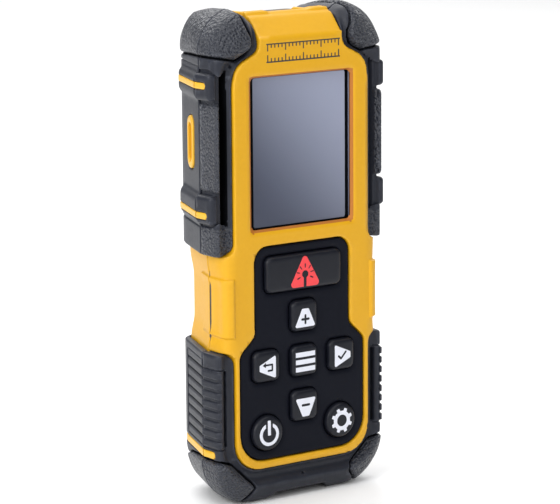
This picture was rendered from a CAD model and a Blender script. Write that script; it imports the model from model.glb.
"""Looks of the laser distance meter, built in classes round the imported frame.

Lengths here are in millimetres: x to the right, d the depth behind the front bezel plane, z up.
Moulded pieces are sculpted as distance fields on a grid, which gives true fillets and soft edges.
"""

import functools
import logging
import math
from dataclasses import dataclass
from enum import Enum
from typing import Callable, Iterable, Sequence

import bpy
import numpy as np
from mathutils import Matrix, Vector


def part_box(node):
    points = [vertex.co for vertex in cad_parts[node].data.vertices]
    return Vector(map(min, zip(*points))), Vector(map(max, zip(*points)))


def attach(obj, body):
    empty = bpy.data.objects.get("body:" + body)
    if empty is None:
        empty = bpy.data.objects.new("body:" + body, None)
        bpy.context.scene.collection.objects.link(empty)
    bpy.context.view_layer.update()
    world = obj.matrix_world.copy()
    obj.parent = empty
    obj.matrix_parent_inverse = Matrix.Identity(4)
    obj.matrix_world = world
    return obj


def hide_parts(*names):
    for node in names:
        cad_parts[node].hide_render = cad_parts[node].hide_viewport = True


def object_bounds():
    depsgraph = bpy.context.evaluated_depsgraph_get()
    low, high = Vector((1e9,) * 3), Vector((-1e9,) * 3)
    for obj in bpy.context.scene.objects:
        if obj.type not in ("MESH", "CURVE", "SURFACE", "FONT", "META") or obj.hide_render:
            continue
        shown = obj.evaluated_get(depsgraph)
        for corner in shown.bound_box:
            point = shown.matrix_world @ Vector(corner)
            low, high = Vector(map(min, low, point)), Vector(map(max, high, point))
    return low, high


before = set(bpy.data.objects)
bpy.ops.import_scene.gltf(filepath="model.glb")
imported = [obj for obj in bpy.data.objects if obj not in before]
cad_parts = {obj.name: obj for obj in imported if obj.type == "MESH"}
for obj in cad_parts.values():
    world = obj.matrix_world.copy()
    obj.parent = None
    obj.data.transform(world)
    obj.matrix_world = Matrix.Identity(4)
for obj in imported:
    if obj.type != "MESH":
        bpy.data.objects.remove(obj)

import openvdb
from mathutils import Quaternion, Vector

Array = np.ndarray
Colour = tuple[float, float, float]
Form = Callable[[Array, Array, Array], Array]
Point = tuple[float, float, float]
Box = tuple[Point, Point]
Socket = bpy.types.NodeSocket

log = logging.getLogger("meter")
CAD_BOUNDS = [list(corner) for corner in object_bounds()]
MM = 0.001
BEZEL_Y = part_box("front_housing")[0][1] / MM
HEIGHT = CAD_BOUNDS[1][2] / MM
ROOT = "meter_body"
FAR = 1e6
CORNER = 8  # The lower corners' radius, on the yellow face and on the keypad.
BAND = 4  # How many steps of the grid a field keeps on each side of its surface.
SEAM = 8.5  # The depth at which the front and rear mouldings meet.
SEAM_GAP = 0.16  # How far each of them stops short of it.


class Side(Enum):
    """A flank of the meter, by the sign of its x."""

    LEFT = -1
    RIGHT = 1


def span(node: str) -> Box:
    """The box of a CAD node as (x, d, z) corners in millimetres.

    Args:
        node: The node's name.

    Returns:
        Its lowest and highest corner.
    """
    low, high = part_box(node)
    return tuple(
        (corner[0] / MM, corner[1] / MM - BEZEL_Y, corner[2] / MM) for corner in (low, high)
    )


def centre(box: Box, *axes: int) -> list[float]:
    """The middle of a box.

    Args:
        box: Its lowest and highest corner.
        axes: Which of its axes to read, as 0 for x, 1 for depth and 2 for z.

    Returns:
        The middle along each.
    """
    low, high = box
    return [(low[axis] + high[axis]) / 2 for axis in axes]


# Distance fields.


def soft_min(a: Array, b: Array, reach: float) -> Array:
    """The union of two forms, with a fillet.

    Args:
        a: One form.
        b: The other form.
        reach: How far the fillet reaches.

    Returns:
        The joined form.
    """
    share = np.maximum(reach - np.abs(a - b), 0.0) / reach
    return np.minimum(a, b) - share * share * (reach / 4)


def soft_max(a: Array, b: Array, reach: float) -> Array:
    """The space inside both forms, with a rounded edge.

    Args:
        a: One form.
        b: The other form.
        reach: How far the rounding reaches.

    Returns:
        The common form.
    """
    return -soft_min(-a, -b, reach)


def carve(a: Array, b: Array, reach: float = 0.25) -> Array:
    """Form a with form b taken out, its edges rounded over reach.

    Args:
        a: The form that stays.
        b: The form that is taken out.
        reach: How far the rounding reaches.

    Returns:
        What is left.
    """
    return soft_max(a, -b, reach)


def union(forms: Iterable[Array]) -> Array:
    """The union of some forms, with no fillet."""
    return functools.reduce(np.minimum, forms)


def front_half(d: Array) -> Array:
    """The space ahead of the seam, short of it by the gap."""
    return d - SEAM + SEAM_GAP


def rear_half(d: Array) -> Array:
    """The space behind the seam, short of it by the gap."""
    return SEAM + SEAM_GAP - d


def ramp(at: Array, marks: Sequence[float], values: Sequence[float], blur: float) -> Array:
    """Values between marks, with the corners smoothed.

    Args:
        at: Where to read.
        marks: The marks.
        values: The value at each mark.
        blur: How far each corner is smoothed.

    Returns:
        The values.
    """
    return sum(np.interp(at + blur * k, marks, values) for k in (-1.0, -0.5, 0.0, 0.5, 1.0)) / 5.0


def ease(value: Array) -> Array:
    """A smooth step of a value kept between 0 and 1."""
    value = np.clip(value, 0.0, 1.0)
    return value * value * (3.0 - 2.0 * value)


def slab(value: Array, low: float, high: float) -> Array:
    """The space between two parallel planes.

    Args:
        value: The coordinate across the slab.
        low: Its lower face.
        high: Its upper face.

    Returns:
        The slab's form.
    """
    return np.maximum(low - value, value - high)


def panel(
    u: Array,
    v: Array,
    half: Array | float,
    low: Array | float,
    high: Array | float,
    low_round: float,
    high_round: float | None = None,
    middle: float = 0.0,
) -> Array:
    """A flat rounded rectangle.

    Args:
        u: The coordinate across.
        v: The coordinate upwards.
        half: Half its width.
        low: Its lower edge.
        high: Its upper edge.
        low_round: Its lower corners' radius.
        high_round: Its upper corners' radius, the same as the lower if not given.
        middle: Where its middle lies across.

    Returns:
        The distance to its outline, negative inside.
    """
    mid, tall = (low + high) / 2, (high - low) / 2
    top = low_round if high_round is None else high_round
    rounding = np.where(v > mid, top, low_round).astype(np.float32)
    across = np.abs(u - middle) - half + rounding
    along = np.abs(v - mid) - tall + rounding
    outside = np.hypot(np.maximum(across, 0), np.maximum(along, 0))
    return outside + np.minimum(np.maximum(across, along), 0) - rounding


def segment(u: Array, v: Array, start: Sequence[float], end: Sequence[float]) -> Array:
    """The distance to a straight line between two points.

    Args:
        u: The coordinate across.
        v: The coordinate upwards.
        start: One end.
        end: The other end.

    Returns:
        The distance.
    """
    (au, av), (bu, bv) = start, end
    run, rise = bu - au, bv - av
    share = np.clip(((u - au) * run + (v - av) * rise) / (run * run + rise * rise), 0, 1)
    return np.hypot(u - au - run * share, v - av - rise * share)


def outline(u: Array, v: Array, points: Sequence[tuple[float, float]]) -> Array:
    """A flat closed polygon.

    Args:
        u: The coordinate across.
        v: The coordinate upwards.
        points: The polygon's corners in order.

    Returns:
        The distance to its outline, negative inside.
    """
    u, v = np.broadcast_arrays(u, v)
    nearest = np.full(u.shape, FAR, np.float32)
    inside = np.zeros(u.shape, bool)
    for start, end in zip(points, list(points[1:]) + [points[0]]):
        nearest = np.minimum(nearest, segment(u, v, start, end))
        (au, av), (bu, bv) = start, end
        if bv != av:
            crosses = (av > v) != (bv > v)
            inside ^= crosses & (u < (bu - au) * (v - av) / (bv - av) + au)
    return np.where(inside, -nearest, nearest)


def stroke(u: Array, v: Array, points: Sequence[tuple[float, float]], radius: float) -> Array:
    """A flat line of even width through some points, with round ends.

    Args:
        u: The coordinate across.
        v: The coordinate upwards.
        points: The points that the line runs through.
        radius: Half its width.

    Returns:
        The distance to its outline.
    """
    return union(segment(u, v, *ends) for ends in zip(points, points[1:])) - radius


def disc(u: Array, v: Array, at_u: float, at_v: float, radius: float) -> Array:
    """The distance to a circle's edge.

    Args:
        u: The coordinate across.
        v: The coordinate upwards.
        at_u: Its centre across.
        at_v: Its centre upwards.
        radius: Its radius.

    Returns:
        The distance, negative inside.
    """
    return np.hypot(u - at_u, v - at_v) - radius


def probe(values: Array, places: Array) -> Array:
    """Read a grid between its points.

    Args:
        values: The grid.
        places: Places in steps of the grid.

    Returns:
        The value at each place.
    """
    limit = np.array(values.shape) - 2
    base = np.clip(np.floor(places).astype(np.int64), 0, limit)
    part = places - base
    total = np.zeros(len(places), np.float32)
    for corner in np.ndindex(2, 2, 2):
        weight = np.prod(np.where(corner, part, 1 - part), axis=1)
        i, j, k = (base + corner).T
        total += weight * values[i, j, k]
    return total


def sculpt(
    name: str, low: Point, high: Point, step: float, form: Form, merge: float = 0.0
) -> bpy.types.Object:
    """Turn a distance field into a closed smooth mesh.

    Args:
        name: The piece's name.
        low: The lowest corner of the space that holds it.
        high: The highest corner.
        step: The grid's step.
        form: The field, as a function of x, d and z.
        merge: How far flat areas are merged into larger faces, from 0 to 1.

    Returns:
        The piece, with its vertices in metres.
    """
    step *= 1.0
    start = [value - 3 * step for value in low]
    counts = [int((b - a) / step) + 7 for a, b in zip(low, high)]
    lines = [(a + step * np.arange(n)).astype(np.float32) for a, n in zip(start, counts)]
    axes = np.meshgrid(*lines, indexing="ij", sparse=True)
    values = np.broadcast_to(form(*axes), counts).astype(np.float32)
    values = np.clip(values, -BAND * step, BAND * step)
    for axis in range(3):
        for end in (0, -1):
            np.moveaxis(values, axis, 0)[end] = BAND * step
    grid = openvdb.FloatGrid(BAND * step)
    grid.copyFromArray(values)
    points, triangles, quads = grid.convertToPolygons(isovalue=0.0, adaptivity=merge)
    slopes = []
    for axis in range(3):
        shift = np.zeros(3)
        shift[axis] = 0.6
        slopes.append(probe(values, points + shift) - probe(values, points - shift))
    normals = np.stack(slopes, axis=1)
    normals /= np.maximum(np.linalg.norm(normals, axis=1, keepdims=True), 1e-9)
    places = (points * step + np.array(start)) * MM
    places[:, 1] += BEZEL_Y * MM
    return mesh_piece(name, places, triangles, quads, normals)


def mesh_piece(
    name: str, places: Array, triangles: Array, quads: Array, normals: Array
) -> bpy.types.Object:
    """Make an object from arrays, with its faces turned outwards.

    Args:
        name: The piece's name.
        places: The vertices, in metres.
        triangles: Triangles as vertex numbers.
        quads: Four-sided faces as vertex numbers.
        normals: The outward direction at each vertex.

    Returns:
        The new object.
    """
    faces = [np.asarray(group, np.int64) for group in (triangles, quads)]
    turned = []
    for group in faces:
        if len(group):
            a, b, c = places[group[:, 0]], places[group[:, 1]], places[group[:, 2]]
            if (np.cross(b - a, c - a) * normals[group[:, 0]]).sum() < 0:
                group = group[:, ::-1]
        turned.append(group)
    corners = np.concatenate([group.reshape(-1) for group in turned]).astype(np.int32)
    sizes = np.concatenate([np.full(len(turned[0]), 3), np.full(len(turned[1]), 4)])
    mesh = bpy.data.meshes.new(name)
    mesh.vertices.add(len(places))
    mesh.vertices.foreach_set("co", places.astype(np.float32).reshape(-1))
    mesh.loops.add(len(corners))
    mesh.loops.foreach_set("vertex_index", corners)
    mesh.polygons.add(len(sizes))
    mesh.polygons.foreach_set("loop_start", (np.cumsum(sizes) - sizes).astype(np.int32))
    mesh.update(calc_edges=True)
    mesh.shade_smooth()
    mesh.normals_split_custom_set_from_vertices(normals.astype(np.float32))
    made = bpy.data.objects.new(name, mesh)
    bpy.context.scene.collection.objects.link(made)
    log.info("%s: %d triangles", name, len(turned[0]) + 2 * len(turned[1]))
    return made


def paint(piece: bpy.types.Object, base: bpy.types.Material, *others: object) -> None:
    """Give a piece one finish, and further ones inside given forms.

    Args:
        piece: The piece.
        base: Its finish.
        others: Pairs of a further finish and the form inside which it lies. None skips a pair.
    """
    piece.data.materials.clear()
    piece.data.materials.append(base)
    centres = np.empty(len(piece.data.polygons) * 3, np.float32)
    piece.data.polygons.foreach_get("center", centres)
    x, d, z = (centres.reshape(-1, 3) / MM).T
    chosen = np.zeros(len(x), np.int32)
    for finish, where in zip(others[::2], others[1::2]):
        if finish is not None:
            piece.data.materials.append(finish)
            chosen[where(x, d - BEZEL_Y, z) < 0] = len(piece.data.materials) - 1
    piece.data.polygons.foreach_set("material_index", chosen)


def settle(piece: bpy.types.Object, body: str, slot: str, *nodes: str) -> None:
    """Fix a finished piece to its body and its material slot.

    Args:
        piece: The piece.
        body: The CAD body that it moves with.
        slot: The record's material slot.
        nodes: The CAD nodes that it stands for.
    """
    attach(piece, body)
    if nodes:
        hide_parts(*nodes)


# Finishes.


class Sheet:
    """A node tree under construction, with short ways to add and join nodes."""

    def __init__(self, tree: bpy.types.NodeTree) -> None:
        """Start on an existing tree."""
        self.tree = tree

    def add(self, kind: str, values: dict | None = None, **settings: object) -> bpy.types.Node:
        """Add a node.

        Args:
            kind: The node's type.
            values: Input names or numbers, with a value or a socket to link from.
            settings: The node's own settings.

        Returns:
            The node.
        """
        node = self.tree.nodes.new(kind)
        for key, value in settings.items():
            setattr(node, key, value)
        for key, value in (values or {}).items():
            self.feed(node.inputs[key], value)
        return node

    def feed(self, socket: Socket, value: object) -> None:
        """Set an input to a value, or link it from a socket.

        Args:
            socket: The input.
            value: The value or the socket.
        """
        if isinstance(value, Socket):
            self.tree.links.new(value, socket)
        else:
            socket.default_value = value

    def math(self, operation: str, *values: object) -> Socket:
        """Add a calculation on values or sockets and give its result."""
        return self.add("ShaderNodeMath", dict(enumerate(values)), operation=operation).outputs[0]

    def noise(self, place: Socket, scale: object, detail: float, **more: float) -> bpy.types.Node:
        """Add a noise.

        Args:
            place: The coordinates that it reads.
            scale: Its scale, as a number or a socket.
            detail: Its detail.
            more: Its other inputs.

        Returns:
            The node.
        """
        values = {"Vector": place, "Scale": scale, "Detail": detail, **more}
        return self.add("ShaderNodeTexNoise", values)

    def spread(
        self, value: Socket, low: float, high: float, start: float = 0.0, end: float = 1.0
    ) -> Socket:
        """Map a range of a value to another range.

        Args:
            value: The value.
            low: Where the range starts.
            high: Where it ends.
            start: What the range's start becomes.
            end: What its end becomes.

        Returns:
            The mapped value.
        """
        values = {0: value, 1: low, 2: high, 3: start, 4: end}
        return self.add("ShaderNodeMapRange", values).outputs[0]

    def socket(self, name: str, kind: str, output: bool = False, value: object = None) -> None:
        """Declare an input or output of a group.

        Args:
            name: The socket's name.
            kind: Its socket type.
            output: True for an output.
            value: Its default.
        """
        made = self.tree.interface.new_socket(
            name, in_out="OUTPUT" if output else "INPUT", socket_type=kind
        )
        if value is not None:
            made.default_value = value


def open_group(name: str, **inputs: float) -> tuple[Sheet, bpy.types.bpy_prop_collection, Socket]:
    """Start a shared group that works in Object coordinates.

    Args:
        name: The group's name.
        inputs: Its number inputs with their defaults.

    Returns:
        The group's sheet, its inputs and the coordinates.
    """
    sheet = Sheet(bpy.data.node_groups.new(name, "ShaderNodeTree"))
    for key, value in inputs.items():
        sheet.socket(key, "NodeSocketFloat", value=value)
    given = sheet.add("NodeGroupInput").outputs
    return sheet, given, sheet.add("ShaderNodeTexCoord").outputs["Object"]


def close_mask(sheet: Sheet, a: Socket, b: Socket, amount: Socket) -> bpy.types.NodeTree:
    """End a shared group with a mask output, the product of three values.

    Args:
        sheet: The group's sheet.
        a: One pattern.
        b: The other pattern.
        amount: How much of their product is kept.

    Returns:
        The finished group.
    """
    sheet.socket("Mask", "NodeSocketFloat", output=True)
    both = sheet.math("MULTIPLY", a, b)
    sheet.add("NodeGroupOutput", {"Mask": sheet.math("MULTIPLY", both, amount)})
    return sheet.tree


def tone_group() -> bpy.types.NodeTree:
    """A shared group that clouds a surface softly between two tones.

    Returns:
        The group, with a mask output.
    """
    sheet, given, place = open_group("moulding tone", Scale=60.0, Spread=0.5)
    cloud = sheet.noise(place, given["Scale"], 3.0, Roughness=0.55).outputs["Fac"]
    fine = sheet.noise(place, 900.0, 2.0).outputs["Fac"]
    eased = sheet.spread(sheet.math("MULTIPLY", cloud, fine), 0.12, 0.42)
    sheet.socket("Mask", "NodeSocketFloat", output=True)
    sheet.add("NodeGroupOutput", {"Mask": sheet.math("MULTIPLY", eased, given["Spread"])})
    return sheet.tree


def wear_group() -> bpy.types.NodeTree:
    """A shared group that finds exposed edges, broken up by small scuffs.

    Returns:
        The group, with a mask output.
    """
    sheet, given, place = open_group("edge wear", Amount=0.4)
    point = sheet.add("ShaderNodeNewGeometry").outputs["Pointiness"]
    scuff = sheet.noise(place, 420.0, 4.0).outputs["Fac"]
    edge, broken = sheet.spread(point, 0.51, 0.58), sheet.spread(scuff, 0.4, 0.62, 0.25)
    return close_mask(sheet, edge, broken, given["Amount"])


def dust_group() -> bpy.types.NodeTree:
    """A shared group that lays a trace of dust on upward faces.

    Returns:
        The group, with a mask output.
    """
    sheet, given, place = open_group("settled dust", Amount=0.1)
    normal = sheet.add("ShaderNodeNewGeometry").outputs["Normal"]
    up = sheet.add("ShaderNodeSeparateXYZ", {0: normal}).outputs["Z"]
    speck = sheet.noise(place, 260.0, 5.0).outputs["Fac"]
    flat, thin = sheet.spread(up, 0.2, 1.0), sheet.spread(speck, 0.45, 0.7)
    return close_mask(sheet, flat, thin, given["Amount"])


def grain_group(pebbled: bool) -> bpy.types.NodeTree:
    """A shared group that roughens a surface, as spark-eroded grain or as leathery pebbles.

    Args:
        pebbled: True for pebbles.

    Returns:
        The group, with a normal output.
    """
    name, depth = ("pebble grain", 0.0006) if pebbled else ("spark grain", 0.00014)
    sheet, given, place = open_group(name, Scale=2500.0, Strength=0.3)
    sheet.socket("Normal", "NodeSocketVector", output=True)
    noise = sheet.noise(place, given["Scale"], 3.0)
    height = noise.outputs["Fac"]
    if pebbled:
        shift = sheet.add(
            "ShaderNodeVectorMath", {0: noise.outputs["Color"], "Scale": 0.0005}, operation="SCALE"
        )
        bent = sheet.add(
            "ShaderNodeVectorMath", {0: place, 1: shift.outputs[0]}, operation="ADD"
        )
        cells = sheet.add(
            "ShaderNodeTexVoronoi",
            {"Vector": bent.outputs[0], "Scale": given["Scale"], "Smoothness": 0.6},
            feature="SMOOTH_F1",
        )
        round_top = sheet.spread(cells.outputs["Distance"], 0.05, 0.75, 1.0, 0.0)
        height = sheet.math("ADD", round_top, height)
    bump = sheet.add(
        "ShaderNodeBump", {"Strength": given["Strength"], "Distance": depth, "Height": height}
    )
    sheet.add("NodeGroupOutput", {"Normal": bump.outputs["Normal"]})
    return sheet.tree


class Groups:
    """The shared shader groups, each made once."""

    tone = tone_group()
    wear = wear_group()
    dust = dust_group()
    spark = grain_group(False)
    pebble = grain_group(True)


DUST: Colour = (0.55, 0.53, 0.5)


@dataclass(frozen=True)
class Finish:
    """One moulded, metal or printed finish."""

    name: str
    colour: Colour
    shade: Colour
    roughness: float = 0.45
    spread: float = 0.5
    grain: float = 2600.0
    depth: float = 0.2
    pebbled: bool = False
    wear: float = 0.0
    worn: Colour = (0.5, 0.5, 0.5)
    dust: float = 0.03
    metallic: float = 0.0
    specular: float = 0.5
    coat: float = 0.0
    transmission: float = 0.0
    sheen: float = 0.0
    fade: tuple[Point, Point] | None = None

    def material(self) -> bpy.types.Material:
        """Build the finish as a node material.

        Returns:
            The material.
        """
        made = bpy.data.materials.new(self.name)
        made.use_nodes = True
        sheet = Sheet(made.node_tree)
        shader = made.node_tree.nodes["Principled BSDF"]
        if self.fade:
            mask = self._fade(sheet)
        else:
            mask = self._group(sheet, Groups.tone, Spread=self.spread).outputs["Mask"]
        colour = self._mix(sheet, mask, (*self.colour, 1.0), (*self.shade, 1.0))
        roughest = min(1.0, self.roughness * 1.12)
        rough = sheet.spread(mask, 0.0, 1.0, self.roughness * 0.92, roughest)
        if self.wear:
            worn = self._group(sheet, Groups.wear, Amount=self.wear).outputs["Mask"]
            colour = self._mix(sheet, worn, colour, (*self.worn, 1.0))
        if self.dust:
            dusty = self._group(sheet, Groups.dust, Amount=self.dust).outputs["Mask"]
            colour = self._mix(sheet, dusty, colour, (*DUST, 1.0))
        sheet.feed(shader.inputs["Base Color"], colour)
        sheet.feed(shader.inputs["Roughness"], rough)
        if self.depth:
            kind = Groups.pebble if self.pebbled else Groups.spark
            grain = self._group(sheet, kind, Scale=self.grain, Strength=self.depth)
            sheet.feed(shader.inputs["Normal"], grain.outputs["Normal"])
        for name, value in (
            ("Metallic", self.metallic),
            ("Specular IOR Level", self.specular),
            ("Coat Weight", self.coat),
            ("Coat Roughness", 0.06),
            ("Transmission Weight", self.transmission),
            ("Sheen Weight", self.sheen),
            ("Sheen Roughness", 0.4),
        ):
            sheet.feed(shader.inputs[name], value)
        return made

    @staticmethod
    def _group(sheet: Sheet, tree: bpy.types.NodeTree, **values: float) -> bpy.types.Node:
        """Add a shared group with its inputs set."""
        return sheet.add("ShaderNodeGroup", values, node_tree=tree)

    @staticmethod
    def _mix(sheet: Sheet, mask: Socket, a: object, b: object) -> Socket:
        """Mix two colours by a mask."""
        values = {0: mask, 6: a, 7: b}
        return sheet.add("ShaderNodeMix", values, data_type="RGBA").outputs[2]

    def _fade(self, sheet: Sheet) -> Socket:
        """A slow fade from one place to another on the piece.

        Args:
            sheet: The material's tree.

        Returns:
            The fade, from 0 to 1.
        """
        start, end = (Vector(place) * MM for place in self.fade)
        along = end - start
        place = sheet.add("ShaderNodeTexCoord").outputs["Object"]
        moved = sheet.add("ShaderNodeVectorMath", {0: place, 1: start}, operation="SUBTRACT")
        share = sheet.add(
            "ShaderNodeVectorMath",
            {0: moved.outputs[0], 1: along / along.length_squared},
            operation="DOT_PRODUCT",
        )
        return sheet.add(
            "ShaderNodeMapRange",
            {0: share.outputs["Value"], 1: 0.0, 2: 1.0},
            interpolation_type="SMOOTHSTEP",
        ).outputs[0]


YELLOW = Finish(
    "yellow moulded plastic", (0.7, 0.362, 0.0034), (0.648, 0.33, 0.0027), 0.45, 0.5, 3000.0, 0.16,
    wear=0.25, worn=(0.85, 0.52, 0.08), dust=0.012, specular=0.38,
)
YELLOW_WALL = Finish(
    "yellow opening wall", (0.46, 0.15, 0.01), (0.4, 0.125, 0.008), 0.5, 0.5, 3000.0, 0.16,
    dust=0.02,
)
STRIPE = Finish(
    "yellow inlay", (0.78, 0.43, 0.022), (0.72, 0.38, 0.018), 0.4, 0.4, 3000.0, 0.1, dust=0.02,
)
RUBBER = Finish(
    "satin guard rubber", (0.0102, 0.0128, 0.0225), (0.0072, 0.009, 0.0162), 0.5, 0.7, 2400.0, 0.35,
    wear=0.35, worn=(0.12, 0.13, 0.165), dust=0.015, specular=0.36, sheen=0.08,
)
PEBBLED = Finish(
    "pebbled guard rubber", (0.0145, 0.018, 0.03), (0.0098, 0.0122, 0.0208), 0.38, 0.7, 1350.0, 0.8,
    pebbled=True, wear=0.3, worn=(0.12, 0.13, 0.165), dust=0.015, specular=0.6, sheen=0.08,
)
RECESS = Finish(
    "matt recess rubber", (0.0016, 0.0018, 0.0026), (0.001, 0.0012, 0.0018), 0.95, 0.5, 2400.0, 0.3,
    dust=0.0, specular=0.04,
)
SILICONE = Finish(
    "keypad silicone", (0.0052, 0.0063, 0.0118), (0.0038, 0.0046, 0.009), 0.5, 0.5, 3200.0, 0.12,
    dust=0.003, specular=0.09,
)
KEY = Finish(
    "key silicone", (0.0058, 0.007, 0.0125), (0.0042, 0.0051, 0.0096), 0.42, 0.5, 3200.0, 0.12,
    wear=0.4, worn=(0.045, 0.048, 0.058), dust=0.006, specular=0.28,
)
INK_WHITE = Finish(
    "white key print", (0.76, 0.78, 0.86), (0.7, 0.72, 0.8), 0.45, 0.5, 3200.0, 0.08, dust=0.0,
)
INK_RED = Finish(
    "red key print", (0.86, 0.052, 0.06), (0.8, 0.042, 0.05), 0.45, 0.5, 3200.0, 0.08, dust=0.0,
)
INK_DARK = Finish(
    "dark shell print", (0.035, 0.032, 0.03), (0.028, 0.026, 0.025), 0.5, 0.5, 3200.0, 0.08,
    dust=0.0,
)
WINDOW = Finish(
    "tinted screen window", (0.036, 0.046, 0.085), (0.33, 0.36, 0.48), 0.2, 0.0, 3000.0, 0.0,
    dust=0.0, coat=0.25, specular=0.35, transmission=0.15,
    fade=((-17.0, -13.0, 84.0), (17.0, -13.0, 116.0)),
)
DISPLAY = Finish(
    "display glass", (0.018, 0.021, 0.03), (0.03, 0.034, 0.048), 0.2, 0.5, 1000.0, 0.0, dust=0.0,
)
DOOR_PLASTIC = Finish(
    "door plastic", (0.03, 0.031, 0.036), (0.022, 0.023, 0.028), 0.45, 0.5, 2600.0, 0.3,
    wear=0.3, worn=(0.12, 0.12, 0.13),
)
DARK_PLASTIC = Finish(
    "black inner plastic", (0.016, 0.016, 0.018), (0.011, 0.011, 0.013), 0.4, 0.5, 2600.0, 0.2,
)
LENS = Finish(
    "coated lens glass", (0.05, 0.02, 0.075), (0.02, 0.035, 0.05), 0.05, 0.5, 900.0, 0.0, dust=0.0,
    coat=1.0, transmission=0.55,
)
FILM = Finish("switch film", (0.55, 0.56, 0.5), (0.48, 0.49, 0.44), 0.35, 0.4, 2000.0, 0.05)
LABEL = Finish(
    "silver label film", (0.42, 0.43, 0.45), (0.37, 0.38, 0.4), 0.38, 0.6, 2200.0, 0.08,
    metallic=0.55,
)
BOARD = Finish(
    "circuit board lacquer", (0.012, 0.12, 0.045), (0.009, 0.09, 0.035), 0.35, 0.8, 1500.0, 0.12,
)
STEEL = Finish(
    "plated steel", (0.6, 0.6, 0.58), (0.5, 0.5, 0.49), 0.28, 0.7, 1800.0, 0.1, wear=0.3,
    worn=(0.8, 0.8, 0.78), metallic=1.0,
)
BRASS = Finish(
    "turned brass", (0.75, 0.52, 0.22), (0.62, 0.42, 0.17), 0.3, 0.7, 1800.0, 0.12, wear=0.4,
    worn=(0.9, 0.7, 0.36), metallic=1.0,
)
SLEEVE = Finish(
    "cell sleeve", (0.5, 0.3, 0.1), (0.03, 0.03, 0.034), 0.3, 0.0, 1800.0, 0.05,
    fade=((0.0, 5.0, 30.0), (0.0, 5.0, 31.0)),
)
FLOOR = Finish(
    "pale floor", (0.93, 0.93, 0.93), (0.91, 0.91, 0.91), 0.6, 0.3, 300.0, 0.0, dust=0.0,
    specular=0.15,
)


class Palette:
    """The finishes as materials, made once each."""

    made: dict[str, bpy.types.Material] = {}

    @classmethod
    def get(cls, finish: Finish) -> bpy.types.Material:
        """The material of a finish.

        Args:
            finish: The finish.

        Returns:
            Its material.
        """
        if finish.name not in cls.made:
            cls.made[finish.name] = finish.material()
        return cls.made[finish.name]


def dress(node: str, finish: Finish, bevel: float = 0.0) -> None:
    """Give a CAD node that stays its finish, with softened edges if asked.

    Args:
        node: The node's name.
        finish: Its finish.
        bevel: The edges' rounding in millimetres.
    """
    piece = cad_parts[node]
    piece.data.materials.clear()
    piece.data.materials.append(Palette.get(finish))
    if bevel:
        rounding = piece.modifiers.new("softened edges", "BEVEL")
        rounding.width = bevel * MM
        rounding.segments = 2
        rounding.limit_method = "ANGLE"
        rounding.angle_limit = math.radians(40)
        rounding.harden_normals = True


# Repeated pieces.


class Repeater:
    """A Geometry Nodes tree that sets copies of a piece in some order."""

    name: str
    inputs: tuple[tuple[str, str, object], ...]

    def __init__(self) -> None:
        """Build the tree with its named inputs."""
        self.tree = bpy.data.node_groups.new(self.name, "GeometryNodeTree")
        self.tree.is_modifier = True
        sheet = Sheet(self.tree)
        sheet.socket("Geometry", "NodeSocketGeometry")
        for name, kind, value in self.inputs:
            sheet.socket(name, kind, value=value)
        sheet.socket("Material", "NodeSocketMaterial")
        sheet.socket("Geometry", "NodeSocketGeometry", output=True)
        given = sheet.add("NodeGroupInput").outputs
        index = sheet.add("GeometryNodeInputIndex").outputs[0]
        placing = {"Instance": given["Geometry"], **self.places(sheet, given, index)}
        copies = sheet.add("GeometryNodeInstanceOnPoints", placing)
        real = sheet.add("GeometryNodeRealizeInstances", {0: copies.outputs[0]})
        dressed = sheet.add(
            "GeometryNodeSetMaterial", {0: real.outputs[0], "Material": given["Material"]}
        )
        sheet.add("NodeGroupOutput", {"Geometry": dressed.outputs[0]})

    @staticmethod
    def line(sheet: Sheet, count: Socket, offset: object, start: Socket) -> Socket:
        """Add the points that carry the copies.

        Args:
            sheet: The tree's sheet.
            count: How many there are.
            offset: The way from one to the next.
            start: Where the first lies.

        Returns:
            The points.
        """
        values = {"Count": count, "Offset": offset, "Start Location": start}
        return sheet.add("GeometryNodeMeshLine", values, mode="OFFSET").outputs[0]


class Row(Repeater):
    """Copies in a straight row, some of them longer."""

    name = "row of pieces"
    inputs = (
        ("Count", "NodeSocketInt", 5),
        ("Pitch", "NodeSocketVector", (0.0, 0.0, 0.001)),
        ("Start", "NodeSocketVector", None),
        ("Long every", "NodeSocketInt", 1),
        ("Long factor", "NodeSocketFloat", 1.0),
    )

    def places(self, sheet: Sheet, given: bpy.types.bpy_prop_collection, index: Socket) -> dict:
        """Where the copies lie and how long each is.

        Args:
            sheet: The tree's sheet.
            given: The tree's inputs.
            index: The number of a copy.

        Returns:
            The points and the scale, by input name.
        """
        part = sheet.math("MODULO", index, given["Long every"])
        major = sheet.math("LESS_THAN", part, 0.5)
        factor = sheet.spread(major, 0.0, 1.0, 1.0, given["Long factor"])
        stretch = sheet.add("ShaderNodeCombineXYZ", {0: 1.0, 1: 1.0, 2: factor})
        points = self.line(sheet, given["Count"], given["Pitch"], given["Start"])
        return {"Points": points, "Scale": stretch.outputs[0]}


class Ring(Repeater):
    """Copies round an arc in the face plane."""

    name = "ring of pieces"
    inputs = (
        ("Count", "NodeSocketInt", 8),
        ("First angle", "NodeSocketFloat", 0.0),
        ("Step angle", "NodeSocketFloat", 0.5),
        ("Centre", "NodeSocketVector", None),
    )

    def places(self, sheet: Sheet, given: bpy.types.bpy_prop_collection, index: Socket) -> dict:
        """Where the copies lie and how each is turned.

        Args:
            sheet: The tree's sheet.
            given: The tree's inputs.
            index: The number of a copy.

        Returns:
            The points and the turn, by input name.
        """
        turn = sheet.math("MULTIPLY_ADD", index, given["Step angle"], given["First angle"])
        spin = sheet.add("ShaderNodeCombineXYZ", {1: turn})
        points = self.line(sheet, given["Count"], (0.0, 0.0, 0.0), given["Centre"])
        return {"Points": points, "Rotation": spin.outputs[0]}


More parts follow.
